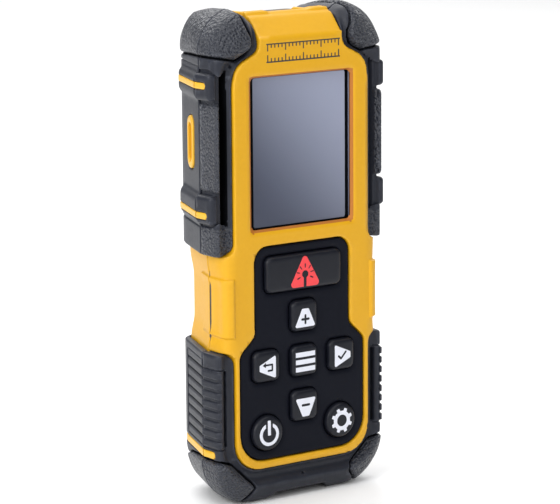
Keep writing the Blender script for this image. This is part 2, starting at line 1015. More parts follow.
def repeat(
    source: bpy.types.Object, tree: bpy.types.NodeTree, name: str, **values: object
) -> bpy.types.Object:
    """Run a repeating tree on a piece and keep the result as a plain mesh.

    Args:
        source: The piece to repeat, which is used up.
        tree: The tree.
        name: The new piece's name.
        values: The tree's inputs, with spaces written as underscores.

    Returns:
        The finished piece.
    """
    modifier = source.modifiers.new("repeat", "NODES")
    modifier.node_group = tree
    names = {
        item.name: item.identifier for item in tree.interface.items_tree if item.in_out == "INPUT"
    }
    for key, value in values.items():
        modifier[names[key.replace("_", " ")]] = value
    bpy.context.view_layer.update()
    graph = bpy.context.evaluated_depsgraph_get()
    mesh = bpy.data.meshes.new_from_object(source.evaluated_get(graph), depsgraph=graph)
    source.modifiers.remove(modifier)
    bpy.data.objects.remove(source)
    mesh.name = name
    made = bpy.data.objects.new(name, mesh)
    bpy.context.scene.collection.objects.link(made)
    return made


# The meter's outer forms.


def foot_corner(half: float, low: float, steps: int) -> list[tuple[float, float]]:
    """The lower right corner of an outline, as a quarter circle.

    Args:
        half: Half the outline's width.
        low: Its lower edge.
        steps: How many sides the quarter has.

    Returns:
        The corner's points, upwards.
    """
    return [
        (half - CORNER + CORNER * math.sin(a), low + CORNER - CORNER * math.cos(a))
        for a in (i * math.pi / (2 * steps) for i in range(steps + 1))
    ]


@dataclass
class Body:
    """The forms that the shells, guards and inlays share."""

    plate_half: float = 22.5
    plate_low: float = 10.1
    crown_half: float = 13.85
    seam_half: float = 28.5
    taper_half: float = 23.0
    taper_depth: float = 24.5
    guard_low: float = 71.2
    boot_high: float = 43.9
    back: float = 29.5
    shell_back: float = 27.8
    wall: float = 2.2
    front_inset: float = 2.6
    rubber: float = 2.35
    low_corner: float = 13.0
    high_corner: float = 12.0
    shell_corners: tuple[float, float] = (10.7, 9.7)
    pinch: float = 1.15
    pinched: tuple[float, float] = (43.8, 69.5)
    bands: tuple[tuple[float, float], ...] = ((80.0, 88.0), (113.9, 121.3))
    recess: tuple[float, float] = (79.2, 122.2)
    stripes: tuple[tuple[float, float], ...] = ((81.5, 83.4), (117.1, 118.9))
    low_stripe: tuple[float, float] = (14.2, 16.3)

    @property
    def draft(self) -> float:
        """How far each rear flank leans in for each millimetre of depth."""
        return (self.seam_half - self.taper_half) / (self.taper_depth - SEAM)

    def plate(self, x: Array, z: Array) -> Array:
        """The flat yellow face's outline, widening below the crown.

        Args:
            x: Places across.
            z: Heights.

        Returns:
            The distance to its outline.
        """
        half, low, top = self.plate_half, self.plate_low, HEIGHT
        corner = foot_corner(half, low, 6)
        shoulder = [
            (half, 117.2), (half - 0.25, 119.2), (half - 0.9, 121.4), (half - 1.9, 122.8),
            (half - 3.2, 123.85), (half - 4.9, 124.7), (half - 6.7, 125.55), (half - 7.8, 126.3),
            (half - 8.4, 127.3), (self.crown_half, 128.6), (self.crown_half, top + 4),
        ]
        right = corner + shoulder
        return outline(np.abs(x), z, [(-8.0, low), *right, (-8.0, top + 4)])

    def skin(self, x: Array, d: Array, z: Array, front: bool) -> Array:
        """The rubber skin's outer form without its bands.

        Args:
            x: Places across.
            d: Depths.
            z: Heights.
            front: True ahead of the seam.

        Returns:
            The form.
        """
        z = z + 0.2 * np.maximum(19.5 - np.abs(x), 0.0) ** 1.6 * (z > 120.0)
        if front:
            marks = (-2.0, 0.2, 0.8, 2.0, 3.8, SEAM)
            half = ramp(d, marks, (26.6, 27.2, 27.8, 28.1, 28.25, self.seam_half), 0.5)
            low = ramp(d, marks, (5.0, 3.6, 2.5, 1.0, 0.0, 0.0), 0.6)
            drops = (4.6, 3.3, 2.5, 1.6, 0.7, 0.0)
            high = ramp(d, marks, [HEIGHT - drop for drop in drops], 0.8)
            return panel(x, z, half, low, high, self.low_corner, self.high_corner)
        marks = (SEAM, self.taper_depth, self.taper_depth + 3, self.back)
        half = np.interp(
            d, marks,
            (self.seam_half, self.taper_half, self.taper_half - 1.4, self.taper_half - 3.5)
        )
        low = np.interp(d, marks, (0.0, 0.0, 1.6, 4.0))
        high = np.interp(d, marks, (HEIGHT, HEIGHT - 1.0, HEIGHT - 2.4, HEIGHT - 4.5))
        corner = self.high_corner - 3.0 * ease((d - SEAM) / 8.0)
        sides = panel(x, z, half, low, high, self.low_corner, corner)
        return soft_max(sides, d - self.back, 2.0)

    def narrow(self, z: Array) -> Array:
        """How far each flank is pinched at the waist.

        Args:
            z: Heights.

        Returns:
            The distances.
        """
        low, high = self.pinched
        return self.pinch * ease((high - z) / 8.0) * ease((z - low) / 7.0)

    def hem(self, x: Array, z: Array, top: bool, front: bool) -> Array:
        """The edge where a guard ends at the waist, rounded beside the yellow face.

        Args:
            x: Places across.
            z: Heights.
            top: True for the upper guards, False for the boot.
            front: True ahead of the seam.

        Returns:
            The distance, negative on the guard's side.
        """
        edge = self.guard_low - z if top else z - self.boot_high
        return soft_max(edge, 0.3 - self.plate(x, z), 3.6) if front else edge

    def flank(self, d: Array, front: bool) -> Array:
        """Half the skin's width at a depth.

        Args:
            d: Depths.
            front: True ahead of the seam.

        Returns:
            The half widths.
        """
        if front:
            return np.interp(d, (0.2, 0.8, 3.8, SEAM), (27.2, 27.8, 28.25, self.seam_half))
        return np.interp(
            d, (SEAM, self.taper_depth, self.back),
            (self.seam_half, self.taper_half, self.taper_half - 3.5)
        )

    def shell(self, x: Array, d: Array, z: Array) -> Array:
        """The yellow body under the rubber.

        Args:
            x: Places across.
            d: Depths.
            z: Heights.

        Returns:
            The form, open at the front and closed at the back.
        """
        lean = self.draft * np.maximum(d - SEAM, 0.0)
        half = self.seam_half - self.rubber - lean - self.narrow(z)
        high = np.interp(
            d, (2.8, 5.0, SEAM, self.taper_depth, self.back), (132.9, 135.5, 135.5, 134.5, 132.0)
        )
        low = np.interp(d, (SEAM, self.taper_depth, self.back), (4.0, 4.0, 6.6))
        form = panel(x, z, half, low, high, *self.shell_corners)
        return soft_max(form, d - self.shell_back, 1.0)

    def crown(self, x: Array, d: Array, z: Array) -> Array:
        """The sloped yellow block between the two top corners.

        Args:
            x: Places across.
            d: Depths.
            z: Heights.

        Returns:
            The form.
        """
        marks = (-1.0, 0.0, 5.0, 6.0, SEAM, 22.5, 25.5, 28.5)
        top = np.interp(d, marks, (128.7, 129.75, 135.35, 135.7, 135.9, 135.4, 133.5, 130.0))
        left, right = ease((-x - 5.2) / 1.5), ease((x - 4.0) / 5.5)
        start = ease((d - 6.6) / 0.6)
        ledge = (left + right * ease((12.5 - d) / 2.0)) * start
        lip = 0.45 * start * ease((9.9 - d) / 0.4)
        top = top + np.maximum(0.9 * ledge, lip)
        sides = np.abs(x) - self.crown_half
        return soft_max(soft_max(sides, (z - top) * 0.8, 0.6), 110.0 - z, 0.5)


BODY = Body()
SCREWS = [f"screw_{row}_{word}" for row in ("lower", "upper") for word in ("left", "right")]


@dataclass
class Shells:
    """The yellow front and rear shells."""

    body: Body
    lap: float = 1.7
    post: float = 3.1
    door: Box = span("battery_door")
    optics: Box = span("optics_bezel")
    label: Box = span("rating_label")

    def __post_init__(self) -> None:
        """Read the other openings from the frame."""
        low, high = span("screen_window")
        self.screen_half = high[0] - self.lap
        self.screen_low = low[2] + self.lap
        self.screen_high = high[2] - self.lap
        insert = span("tripod_insert")
        (self.insert_z,) = centre(insert, 2)
        self.insert_radius = insert[1][0]
        self.insert_front = insert[0][1]
        self.screws = [centre(span(name), 0, 2) for name in SCREWS]

    def waist(self, x: Array, d: Array, z: Array, front: bool) -> Array:
        """The bare yellow waist with its raised side panel.

        Args:
            x: Places across.
            d: Depths.
            z: Heights.
            front: True ahead of the seam.

        Returns:
            The form.
        """
        body = self.body
        half = body.seam_half - 2.25 - body.draft * np.maximum(d - SEAM, 0.0)
        form = soft_max(np.abs(x) - half + body.narrow(z) * ease(d / 5.0 + 0.1), -d, 4.6)
        rise = ease((8.4 - np.abs(z - 56.6)) / 0.5) * ease((np.abs(x) - 22.9) / 0.45)
        form = form - 0.55 * rise
        form = np.maximum(form, 0.22 - body.hem(x, z, True, front))
        return np.maximum(form, 0.22 - body.hem(x, z, False, front))

    def front_form(self, x: Array, d: Array, z: Array) -> Array:
        """The front shell.

        Args:
            x: Places across.
            d: Depths.
            z: Heights.

        Returns:
            The form.
        """
        body = self.body
        flat = body.plate(x, z)
        face = soft_max(flat, -d, 0.7)
        face = np.maximum(face, d - 2.8)
        under = np.maximum(body.shell(x, d, z) + body.front_inset, slab(d, 2.6, SEAM - SEAM_GAP))
        top = soft_max(body.crown(x, d, z), -d, 0.5)
        whole = np.minimum(np.minimum(face, under), np.maximum(top, front_half(d)))
        lip = soft_max(self.waist(x, d, z, True), front_half(d), 0.3)
        whole = np.minimum(whole, lip)
        whole = np.where(
            z > 130.5, np.maximum(whole, np.minimum(body.crown(x, d, z), under)), whole
        )
        room = np.maximum(body.shell(x, d, z) + body.front_inset + 1.2, 3.3 - d)
        whole = carve(whole, room)
        slope = np.clip(1.7 * (d / 1.2), 0.0, 1.7) - 0.25
        hole = panel(
            x, z, self.screen_half - slope, self.screen_low + slope * 0.8,
            self.screen_high - slope / 2, 1.2
        )
        whole = carve(whole, np.maximum(hole * 0.75, d - 3.0), 0.35)
        pocket = panel(
            x, z, self.screen_half + 2.0, self.screen_low - 2.0, self.screen_high + 2.0, 1.8
        )
        whole = np.maximum(whole, -np.maximum(pocket, 1.2 - d))
        return carve(whole, KEYPAD.edge(x, z) - 0.28, 0.4)

    def wall_zone(self, x: Array, d: Array, z: Array) -> Array:
        """The opening's sloped walls, between the face and the window."""
        inside = panel(x, z, self.screen_half + 0.1, self.screen_low, self.screen_high, 1.2)
        return np.maximum(np.maximum(inside, d - 1.6), 0.06 - d)

    def rear_form(self, x: Array, d: Array, z: Array) -> Array:
        """The rear shell.

        Args:
            x: Places across.
            d: Depths.
            z: Heights.

        Returns:
            The form.
        """
        body = self.body
        near = rear_half(d)
        whole = np.minimum(
            body.shell(x, d, z), soft_max(body.crown(x, d, z), d - body.shell_back, 1.0)
        )
        whole = np.minimum(whole, np.maximum(self.waist(x, d, z, False), d - body.shell_back + 1.5))
        whole = soft_max(whole, near, 0.3)
        room = np.maximum(body.shell(x, d, z) + body.wall, d - body.shell_back + body.wall)
        posts = union(disc(x, z, *at, self.post) for at in self.screws)
        boss = disc(x, z, 0.0, self.insert_z, self.insert_radius + 1.8)
        boss = np.maximum(boss, self.insert_front - 0.3 - d)
        whole = np.maximum(whole, -carve(carve(room, posts, 0.3), boss, 0.3))
        low, high = self.door
        door = panel(x, z, high[0] + 0.3, low[2] - 0.5, high[2] + 0.3, 2.6)
        whole = carve(whole, np.maximum(door, 24.6 - d), 0.3)
        low, high = self.optics
        optics = panel(x, d, high[0] + 0.3, low[1] - 0.3, high[1] + 0.3, 1.2)
        whole = carve(whole, np.maximum(optics, 129.0 - z), 0.4)
        low, high = self.label
        recess = panel(x, z, high[0] + 0.25, low[2] - 0.25, high[2] + 0.25, 1.4)
        whole = carve(whole, np.maximum(recess, body.shell_back - 0.55 - d), 0.2)
        seat = disc(x, z, 0.0, self.insert_z, self.insert_radius + 0.25)
        whole = carve(whole, np.maximum(seat, self.insert_front - 0.6 - d), 0.4)
        for at in self.screws:
            whole = np.maximum(whole, -disc(x, z, *at, 1.3))
            whole = carve(whole, np.maximum(disc(x, z, *at, 2.2), 21.0 - d), 0.3)
        return whole

    def build(self) -> None:
        """Sculpt and dress both shells."""
        yellow = Palette.get(YELLOW)
        front = sculpt(
            "yellow_front_shell", (-27, 0, 4), (27, 8.5, 137), 0.3, self.front_form, 0.08
        )
        paint(front, yellow, Palette.get(YELLOW_WALL), self.wall_zone)
        settle(front, ROOT, "yellow_plastic", "front_housing")
        rear = sculpt("yellow_rear_shell", (-27, 8.4, 4), (27, 28, 137), 0.36, self.rear_form, 0.08)
        paint(rear, yellow)
        settle(rear, ROOT, "yellow_plastic", "rear_housing")
        dress("housing_seal", RUBBER)
        for name in SCREWS:
            dress(name, STEEL, 0.12)


@dataclass
class Guards:
    """The rubber corner guards, with their bands, recesses, pebbled pads and yellow inlays."""

    body: Body
    pinholes: tuple[tuple[float, float], ...] = ((-22.6, 123.0), (22.6, 123.0), (0.5, 6.3))
    shell_gap: float = 0.3
    rib_pitch: float = 2.78
    rib_first: float = 18.6

    def __post_init__(self) -> None:
        """Read the eyelet's place."""
        self.eyelet_depth, self.eyelet_z = centre(span("lanyard_eyelet"), 1, 2)

    def cap(self, x: Array, z: Array) -> Array:
        """The outline of the pebbled pads at the top and bottom corners.

        Args:
            x: Places across.
            z: Heights.

        Returns:
            The distance, negative inside a pad.
        """
        top = [
            (42.0, 126.1), (28.6, 126.1), (24.6, 125.5), (21.2, 124.8), (18.9, 125.9),
            (17.1, 127.3), (16.5, 128.6), (16.6, 130.3), (17.5, 132.4), (18.2, 134.6),
            (18.6, 142.0), (42.0, 142.0),
        ]
        bottom = [
            (42.0, 13.3), (27.0, 13.3), (23.6, 12.0), (20.8, 9.4), (17.4, 6.1),
            (16.7, 4.8), (18.2, 2.9), (19.4, 1.4), (19.8, -4.0), (42.0, -4.0),
        ]
        side = np.abs(x)
        return np.minimum(outline(side, z, top), outline(side, z, bottom))

    def stripe(self, d: Array, z: Array, top: bool) -> Array:
        """The yellow inlays as seen from the side.

        Args:
            d: Depths.
            z: Heights.
            top: True for the upper guards, False for the boot.

        Returns:
            The distance, negative inside an inlay.
        """
        rows = self.body.stripes if top else (self.body.low_stripe,)
        start = 3.6 if top else 3.1
        lines = []
        for low, high in rows:
            half = (high - low) / 2
            lines.append(stroke(d, z, [(start + half, low + half), (40.0, low + half)], half))
        return union(lines)

    def _stripe_floor(self, d: Array, front: bool, top: bool) -> Array:
        """How far out the floor of a stripe's slot lies.

        Args:
            d: Depths.
            front: True ahead of the seam.
            top: True for the upper guards, False for the boot.

        Returns:
            The distances from the middle.
        """
        return self.body.flank(np.maximum(d, 4.0), front) - (0.2 if front and top else 1.9)

    def outside(self, x: Array, d: Array, z: Array, front: bool, top: bool) -> Array:
        """The rubber's whole outer surface.

        Args:
            x: Places across.
            d: Depths.
            z: Heights.
            front: True ahead of the seam.
            top: True for the upper guards, False for the boot.

        Returns:
            The form.
        """
        body, side = self.body, np.abs(x)
        flat = body.plate(x, z)
        skin = body.skin(x, d, z, front)
        if front:
            dome = ease((z - 122.5) / 5.0)
            low = ramp(flat, (0.0, 0.35, 1.6, 3.0, 5.0, 9.0), (0.3, 0.5, 1.9, 2.0, 0.2, 0.15), 0.4)
            high = ramp(flat, (0.0, 0.3, 1.0, 1.7, 2.5, 9.0), (0.3, 0.5, 1.3, 1.3, 0.05, 0.05), 0.3)
            rise = low * (1 - dome) + dome * high
            round_off = ease((z - 123.0) / 8.0) + 0.5 * ease((11.0 - z) / 7.0)
            skin = soft_max(skin, (rise - d) * 0.85, 1.9 + 2.9 * round_off)
        cap = self.cap(x, z)
        cover = soft_max(skin - 0.35, cap + 0.2, 0.7)
        trench = np.maximum(np.abs(cap - 0.35) - 0.38, -skin - 0.85)
        if top and front:
            return self._front_flank(x, d, z, carve(np.minimum(skin + 0.05, cover), trench, 0.25))
        form = carve(np.minimum(skin + 0.05, cover), trench, 0.25)
        if top:
            return self._bands(x, d, z, form, front)
        if front:
            slit = np.maximum(panel(side, z, 0.5, 17.6, 39.2, 0.4, middle=25.3), d - 5.5)
            lines = np.minimum(np.abs(z - 39.6), np.abs(z - 17.1)) - 0.17
            lines = np.maximum(np.maximum(lines, 25.3 - side), -skin - 0.45)
            return carve(carve(form, slit, 0.35), lines, 0.2)
        flank = body.flank(d, False)
        bay = np.maximum(panel(d, z, 12.0, 17.3, 41.8, 1.2, middle=11.9), flank - 0.75 - side)
        return carve(form, bay, 0.3)

    def _front_flank(self, x: Array, d: Array, z: Array, form: Array) -> Array:
        """Cut the front recess of an upper guard and stand its pad and bands in it.

        Args:
            x: Places across.
            d: Depths.
            z: Heights.
            form: The guard without them.

        Returns:
            The guard with them.
        """
        side = np.abs(x)
        low, high = self.body.recess
        hollow = panel(d, z, 15.0, low, high, 6.0, middle=14.2)
        form = carve(form, soft_max(hollow, 24.3 - side, 0.3), 0.5)
        inner = np.interp(d, (0.3, 1.5, 3.5, 5.0), (27.4, 26.7, 25.2, 24.3))
        pad = np.maximum(panel(d, z, 10.0, 88.9, 113.1, 1.6, middle=10.3), inner - side)
        skin = side - np.interp(d, (0.3, 1.2, 8.5), (27.7, 28.15, 28.45))
        rail = np.maximum(panel(d, z, 8.6, 79.0, 122.4, 1.0, middle=11.0), inner - side)
        form = np.minimum(form, soft_max(rail, skin + 0.5, 0.8))
        form = np.minimum(form, soft_max(pad, skin, 1.0))
        return self._bands(x, d, z, form, True)

    def _bands(self, x: Array, d: Array, z: Array, form: Array, front: bool) -> Array:
        """Add the raised bands.

        Args:
            x: Places across.
            d: Depths.
            z: Heights.
            form: The guard without them.
            front: True ahead of the seam.

        Returns:
            The guard with them.
        """
        side = np.abs(x)
        flank = self.body.flank(np.maximum(d, 4.0), front)
        proud = flank + 1.42
        for low, high in self.body.bands:
            lean = np.clip(side - flank, 0.0, 1.5) * (0.0 if front else 0.55)
            if front:
                block = panel(d, z, 10.0, low, high, 1.2, middle=11.55)
            else:
                block = slab(z, low + lean, high - lean)
            block = soft_max(block, side - proud, 1.5)
            inner = flank - 2.0
            if front:
                inner = np.interp(d, (1.2, 2.5, 4.5, 6.0), (28.0, 26.9, 25.2, 24.3))
            block = np.maximum(block, inner - side)
            block = block if front else soft_max(block, d - 27.4, 3.0)
            form = soft_min(form, block, 0.02 if front else 0.8)
        line = np.minimum(np.abs(z - 122.9), np.abs(z - 79.0)) - 0.16
        if not front:
            form = carve(form, np.maximum(line, flank - 0.45 - side), 0.2)
        return form

    def form(self, x: Array, d: Array, z: Array, front: bool, top: bool) -> Array:
        """A guard's whole form.

        Args:
            x: Places across.
            d: Depths.
            z: Heights.
            front: True ahead of the seam.
            top: True for the upper guards, False for the boot.

        Returns:
            The form.
        """
        body, side = self.body, np.abs(x)
        form = self.outside(x, d, z, front, top)
        inlay = np.maximum(self.stripe(d, z, top) - 0.12, self._stripe_floor(d, front, top) - side)
        inlay = np.maximum(inlay, -form - 0.45)
        form = np.maximum(form, -inlay)
        edge = self.shell_gap
        if top:
            form = soft_max(form, body.hem(x, z, True, front), 0.6)
            form = soft_max(form, body.crown_half + edge - side, 0.3)
        else:
            form = soft_max(form, body.hem(x, z, False, front), 0.8)
            under = outline(
                x, z,
                [(-11.0, -3.0), (-10.5, 0.0), (-8.5, 2.0), (8.5, 2.0), (10.5, 0.0), (11.0, -3.0)]
            )
            form = carve(form, under, 0.5)
        if front:
            film = np.maximum(body.shell(x, d, z) + body.front_inset - 0.55, 2.2 - d)
            film = np.maximum(film, body.hem(x, z, top, True) + 0.3)
            if top:
                film = np.maximum(film, body.crown_half + edge - side)
            else:
                film = carve(film, under, 0.2)
            form = np.minimum(form, np.maximum(film, front_half(d)))
            form = np.maximum(form, edge - np.where(d < 2.9, 0.0, 90.0) - body.plate(x, z))
            form = np.maximum(
                form, -np.maximum(body.shell(x, d, z) + body.front_inset - edge, 2.5 - d)
            )
            form = soft_max(form, front_half(d), 0.35)
            for at in self.pinholes:
                form = np.maximum(form, -np.maximum(disc(x, z, *at, 0.38), d - 2.4))
            return form
        form = np.maximum(form, -(body.shell(x, d, z) - edge))
        form = soft_max(form, d - body.back + 0.12, 0.2)
        form = soft_max(form, rear_half(d), 0.35)
        if not top:
            low, high = span("battery_door")
            door = panel(x, z, high[0] + 0.6, low[2] - 1.2, 90.0, 3.0)
            form = carve(form, np.maximum(door, 25.8 - d), 0.5)
        for word in ("lower", "upper"):
            well = disc(side, z, *centre(span(f"screw_{word}_right"), 0, 2), 2.5)
            form = carve(form, np.maximum(well, 21.0 - d), 0.6)
        return form

    def eyelet_forms(self, x: Array, d: Array, z: Array) -> tuple[Array, Array, Array]:
        """The eyelet's oval, its slot and the flank that it is set in.

        Args:
            x: Places across.
            d: Depths.
            z: Heights.

        Returns:
            The oval, the slot and the depth under the flank's surface.
        """
        middle = self.eyelet_depth + 0.35
        oval = panel(d, z, 2.95, self.eyelet_z - 7.4, self.eyelet_z + 7.4, 2.95, middle=middle)
        slot = panel(d, z, 1.3, self.eyelet_z - 5.0, self.eyelet_z + 5.0, 1.3, middle=middle)
        under = (-x - (self.body.seam_half - self.body.draft * (d - SEAM))) * 0.95
        return oval, slot, under

    def eyelet_form(self, x: Array, d: Array, z: Array) -> Array:
        """The yellow lanyard eyelet.

        Args:
            x: Places across.
            d: Depths.
            z: Heights.

        Returns:
            The form.
        """
        oval, slot, under = self.eyelet_forms(x, d, z)
        form = soft_max(oval, under - 0.45, 0.8)
        form = np.maximum(form, -under - 1.9)
        return carve(form, slot * 0.9 + np.clip(under + 1.6, 0, 1.6) * -0.22, 0.5)

    def inlay_form(self, x: Array, d: Array, z: Array, front: bool, top: bool) -> Array:
        """The yellow inlays in one guard.

        Args:
            x: Places across.
            d: Depths.
            z: Heights.
            front: True ahead of the seam.
            top: True for the upper guards, False for the boot.

        Returns:
            The form.
        """
        under = self.outside(x, d, z, front, top)
        form = soft_max(self.stripe(d, z, top), under - 0.03, 0.3)
        form = np.maximum(form, -under - 0.42)
        form = np.maximum(form, self._stripe_floor(d, front, top) - np.abs(x))
        return np.maximum(form, front_half(d) if front else np.maximum(rear_half(d), d - 26.6))

    def build(self) -> None:
        """Sculpt and dress every guard, inlay and rib."""
        rubber, pebbled, dark = (Palette.get(finish) for finish in (RUBBER, PEBBLED, RECESS))
        pad_step = 0.22
        for side in Side:
            word = side.name.lower()
            for front in (True, False):
                place = "front" if front else "rear"
                near, far = (0.0, 8.5) if front else (8.5, 29.5)
                xs = sorted((side.value * 14.0, side.value * 30.0))
                low, high = (xs[0], near, 71.0), (xs[1], far, HEIGHT)

                def form(
                    x: Array, d: Array, z: Array, front: bool = front, word: str = word
                ) -> Array:
                    """One upper guard, with the eyelet's seat in the left rear one.

                    Args:
                        x: Places across.
                        d: Depths.
                        z: Heights.
                        front: True ahead of the seam.
                        word: The flank's name.

                    Returns:
                        The form.
                    """
                    made = self.form(x, d, z, front, True)
                    if word == "left" and not front:
                        oval, _, under = self.eyelet_forms(x, d, z)
                        made = carve(made, np.maximum(oval - 0.22, -under - 3.0), 0.4)
                    return made

                piece = sculpt(
                    f"{place}_{word}_guard", low, high, pad_step if front else 0.27, form, 0.02
                )
                paint(
                    piece, rubber,
                    pebbled, lambda x, d, z: np.minimum(self.cap(x, z), self._pad_zone(x, d, z)),
                    dark, self._groove, dark if front else None, self._void,
                )
                settle(piece, ROOT, "black_rubber", f"{place}_{word}_grip")
                inlay = sculpt(
                    f"{place}_{word}_inlays",
                    (xs[0], near, 80.0), (xs[1], min(far, 27.0), 120.0), 0.2,
                    lambda x, d, z, front=front: self.inlay_form(x, d, z, front, True), 0.02,
                )
                paint(inlay, Palette.get(STRIPE))
                settle(inlay, ROOT, "yellow_plastic")
        for front in (True, False):
            place = "front" if front else "rear"
            near, far = (0.0, 8.5) if front else (8.5, 29.5)
            piece = sculpt(
                f"{place}_boot", (-29, near, 0), (29, far, 44), 0.24 if front else 0.33,
                lambda x, d, z, front=front: self.form(x, d, z, front, False), 0.02,
            )
            paint(piece, rubber, pebbled, lambda x, _, z: self.cap(x, z), dark, self._groove)
            settle(piece, ROOT, "black_rubber", f"{place}_lower_boot")
            for side in Side:
                xs = sorted((side.value * 19.0, side.value * 29.0))
                inlay = sculpt(
                    f"{place}_{side.name.lower()}_boot_inlay", (xs[0], near, 12.0),
                    (xs[1], min(far, 27.0), 18.0), 0.2,
                    lambda x, d, z, front=front: self.inlay_form(x, d, z, front, False), 0.02,
                )
                paint(inlay, Palette.get(STRIPE))
                settle(inlay, ROOT, "yellow_plastic")
                self._ribs(side, front, rubber)
        eyelet = sculpt(
            "lanyard_loop", (-30, 12.5, 92), (-22, 21.0, 109), 0.14, self.eyelet_form, 0.02
        )
        paint(eyelet, Palette.get(STRIPE), Palette.get(YELLOW_WALL), self._slot)
        settle(eyelet, ROOT, "yellow_plastic", "lanyard_eyelet")

    def _pad_zone(self, x: Array, d: Array, z: Array) -> Array:
        """The pebbled areas of the front half, between the bands and under them."""
        pad = np.maximum(slab(z, 88.9, 113.1), 26.4 - np.abs(x))
        return np.maximum(np.minimum(pad, slab(z, 60.0, 78.9)), d - SEAM + 0.4)

    def _groove(self, x: Array, _: Array, z: Array) -> Array:
        """The narrow trench round the pebbled corners."""
        return np.abs(self.cap(x, z) - 0.35) - 0.27

    def _slot(self, x: Array, d: Array, z: Array) -> Array:
        """The inside of the eyelet's slot."""
        _, slot, under = self.eyelet_forms(x, d, z)
        return np.maximum(slot + 0.1, under + 0.35)

    def _void(self, x: Array, d: Array, z: Array) -> Array:
        """The deep hollow behind the bands, which lies in its own dark."""
        wide = np.interp(d, (0.7, 3.0, 5.0, 8.5), (24.6, 24.8, 25.2, 26.2))
        return np.maximum(slab(np.abs(x), 24.0, wide), np.maximum(slab(z, 79.4, 122.1), 0.7 - d))

    def _ribs(self, side: Side, front: bool, rubber: bpy.types.Material) -> None:
        """Set the row of ribs in one side of the boot.

        Args:
            side: The flank.
            front: True ahead of the seam.
            rubber: The ribs' material.
        """
        body, first = self.body, self.rib_first

        def rib(x: Array, d: Array, z: Array) -> Array:
            """One rib, low on the flank.

            Args:
                x: Places across.
                d: Depths.
                z: Heights.

            Returns:
                The form.
            """
            reach = np.abs(x)
            if front:
                skin = soft_max(body.skin(x, d, z + 6.0, True), 0.2 - d, 1.9)
                shape = soft_max(np.abs(z - first) - 0.98, skin - 0.42, 0.5)
                shape = soft_max(shape, 27.2 - reach, 0.5)
                return np.maximum(np.maximum(shape, -skin - 0.5), front_half(d))
            flank = body.flank(d, False)
            shape = panel(d, z, 11.9, first - 1.17, first + 1.17, 0.4, middle=11.4)
            shape = soft_max(shape, reach - flank - 0.02, 0.7)
            return np.maximum(np.maximum(shape, flank - 0.95 - reach), rear_half(d))

        xs = sorted((side.value * 21.0, side.value * 29.0))
        near, far = (0.0, 8.6) if front else (8.0, 24.0)
        place = "front" if front else "rear"
        one = sculpt("rib", (xs[0], near, 17.2), (xs[1], far, 20.0), 0.13, rib, 0.02)
        row = repeat(
            one, ROW.tree, f"{place}_{side.name.lower()}_boot_ribs",
            Count=8 if front else 9, Pitch=(0.0, 0.0, self.rib_pitch * MM), Material=rubber,
        )
        settle(row, ROOT, "black_rubber")


class Mark(Enum):
    """The sign printed on a key."""

    MEASURE = "measure_key"
    PLUS = "plus_key"
    MENU = "menu_key"
    MINUS = "minus_key"
    BACK = "back_key"
    CONFIRM = "confirm_key"
    POWER = "power_key"
    SETTINGS = "settings_key"


def sign(mark: Mark, u: Array, v: Array) -> Array:
    """The flat outline of a key's printed sign.

    Args:
        mark: Which sign.
        u: Places across, from the key's middle.
        v: Heights, from the key's middle.

    Returns:
        The distance, negative inside the print.
    """
    if mark is Mark.MEASURE:
        form = outline(u, v, [(-3.75, -3.35), (3.75, -3.35), (0.0, 3.35)]) - 0.95
        form = np.maximum(form, -disc(u, v, 0.0, -0.75, 1.05))
        return np.maximum(form, -stroke(u, v, [(0.0, -0.75), (0.0, -6.0)], 0.48))
    if mark in (Mark.PLUS, Mark.MINUS):
        flip = 1.0 if mark is Mark.PLUS else -1.0
        foot, tip = (-2.75, 1.65) if mark is Mark.PLUS else (-1.65, 2.75)
        form = outline(u, v * flip, [(-2.85, foot), (2.85, foot), (0.85, tip), (-0.85, tip)]) - 0.42
        if mark is Mark.PLUS:
            bars = np.minimum(
                stroke(u, v, [(-1.1, -0.95), (1.1, -0.95)], 0.33),
                stroke(u, v, [(0.0, -2.05), (0.0, 0.15)], 0.33),
            )
        else:
            bars = stroke(u, v, [(-1.1, 0.1), (1.1, 0.1)], 0.35)
        return np.maximum(form, -bars)
    if mark is Mark.MENU:
        bars = [slab(v, at - 0.68, at + 0.68) for at in (-2.35, -0.25, 1.85)]
        return np.maximum(union(bars), np.abs(u) - 3.3)
    if mark in (Mark.BACK, Mark.CONFIRM):
        flip = -1.0 if mark is Mark.BACK else 1.0
        v = v + 0.25
        form = outline(u * flip, v, [(-2.3, -2.7), (2.4, -0.6), (2.4, 0.6), (-2.3, 2.7)]) - 0.38
        if mark is Mark.CONFIRM:
            return np.maximum(
                form, -stroke(u, v, [(-1.35, -0.1), (-0.55, -0.85), (1.1, 0.95)], 0.3)
            )
        arm = stroke(u, v, [(-0.9, 0.75), (1.45, 0.75), (1.45, -0.9), (0.1, -0.9)], 0.27)
        head = outline(u, v, [(-1.8, 0.75), (-0.7, 1.5), (-0.7, 0.0)])
        return np.maximum(form, -np.minimum(arm, head))
    if mark is Mark.POWER:
        ring = np.abs(np.hypot(u, v + 0.25) - 2.75) - 0.48
        gap = np.maximum(np.abs(u) - 1.15, -v)
        bar = panel(u, v, 0.5, -0.5, 3.75, 0.2)
        return np.minimum(np.maximum(ring, -gap), bar)
    return np.abs(np.hypot(u, v) - 2.25) - 0.58


